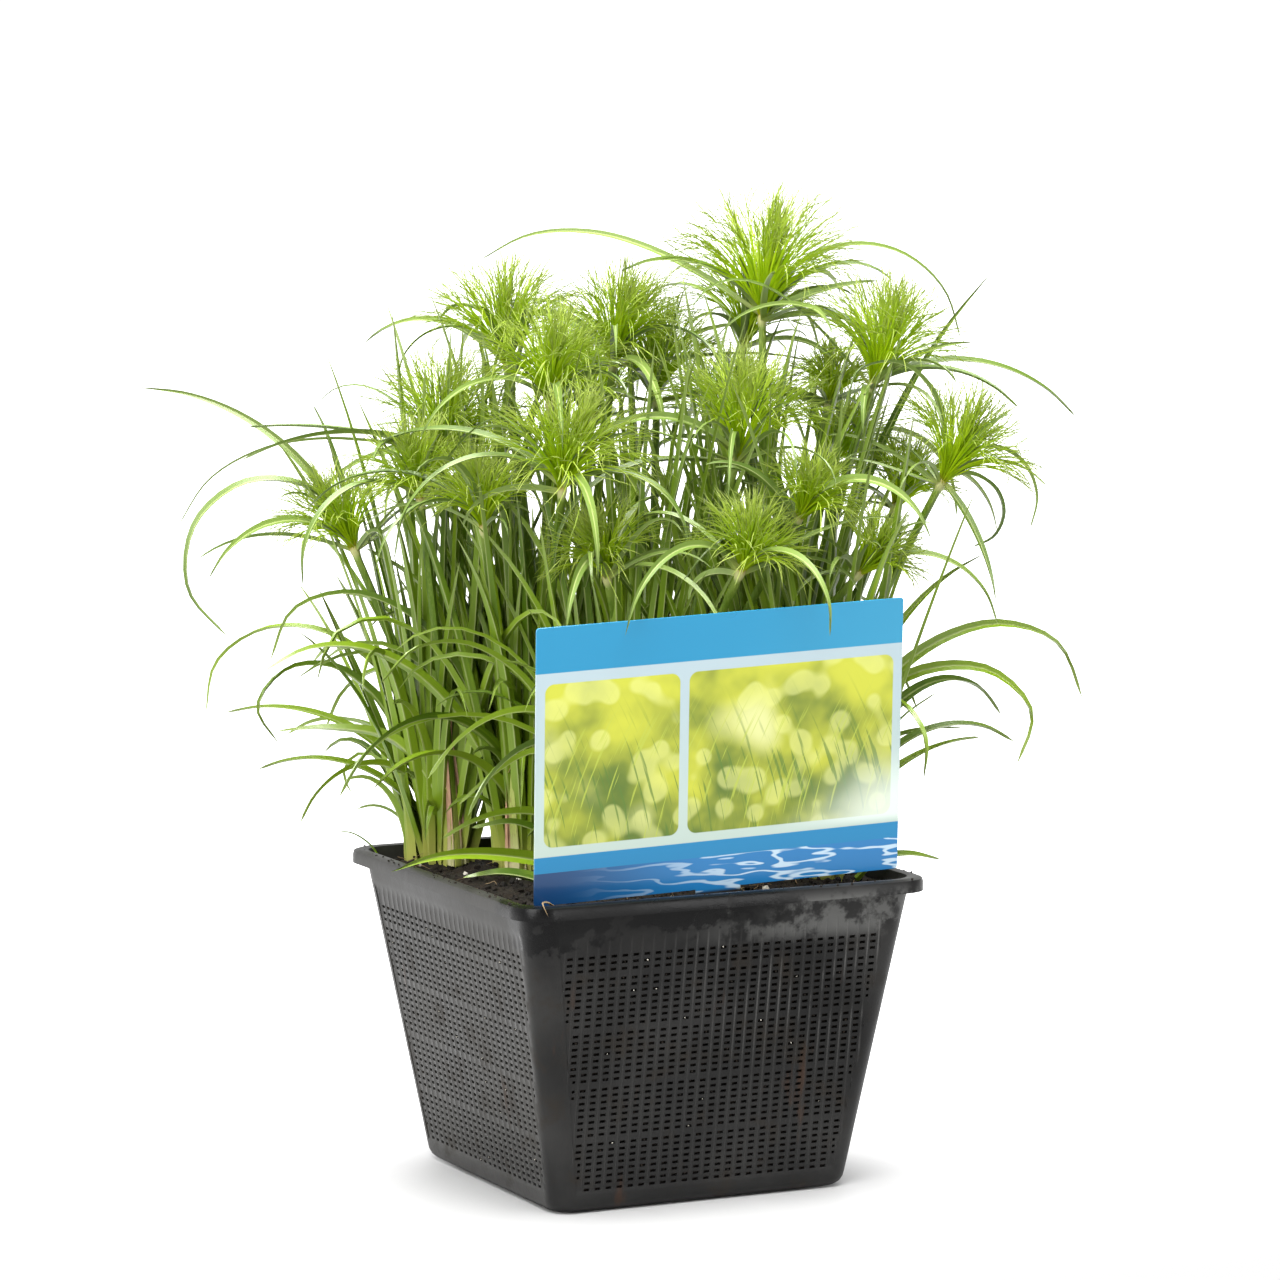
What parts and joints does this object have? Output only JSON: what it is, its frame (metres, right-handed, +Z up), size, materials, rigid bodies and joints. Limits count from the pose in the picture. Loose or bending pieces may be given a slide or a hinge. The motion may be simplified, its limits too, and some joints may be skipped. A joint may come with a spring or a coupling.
{
  "type": "potted papyrus plant",
  "caption": "Dwarf papyrus with feathery umbels on upright culms, growing from soil in a square perforated pond basket, with a plastic picture card stuck in the soil.",
  "frame": {"origin": "middle of the basket's underside, on the surface it stands on", "axes": "+Z up; the card faces -Y; +X to the right of someone reading the card"},
  "size_m": [0.5695, 0.4371, 0.6325],
  "materials": {
    "basket": "satin black moulded plastic, with soil dust and splashes",
    "soil": "moist dark compost",
    "card": "glossy printed sheet",
    "stem": "smooth green culm",
    "leaf": "satin green blade",
    "umbel": "fine green rays"
  },
  "bodies": {
    "root": {"basket": "basket", "soil": "soil", "label_card": "card", "leaves_left": "leaf", "leaves_left_front": "leaf", "leaves_front": "leaf", "leaves_right": "leaf", "leaves_right_edge": "leaf", "leaves_back": "leaf", "leaves_back_left": "leaf", "stem_01": "stem", "stem_02": "stem", "stem_03": "stem", "stem_04": "stem", "stem_05": "stem", "stem_06": "stem", "stem_07": "stem", "stem_08": "stem", "stem_09": "stem", "stem_10": "stem", "stem_11": "stem", "stem_12": "stem", "stem_13": "stem", "stem_14": "stem", "stem_15": "stem", "stem_16": "stem", "stem_17": "stem", "stem_18": "stem", "stem_19": "stem", "stem_20": "stem", "stem_21": "stem", "stem_22": "stem", "stem_23": "stem", "stem_24": "stem", "umbel_01": "umbel", "umbel_02": "umbel", "umbel_03": "umbel", "umbel_04": "umbel", "umbel_05": "umbel", "umbel_06": "umbel", "umbel_07": "umbel", "umbel_08": "umbel", "umbel_09": "umbel", "umbel_10": "umbel", "umbel_11": "umbel", "umbel_12": "umbel", "umbel_13": "umbel", "umbel_14": "umbel", "umbel_15": "umbel", "umbel_16": "umbel", "umbel_17": "umbel", "umbel_18": "umbel", "umbel_19": "umbel", "umbel_20": "umbel", "umbel_21": "umbel", "umbel_22": "umbel", "umbel_23": "umbel", "umbel_24": "umbel"}
  },
  "joints": []
}
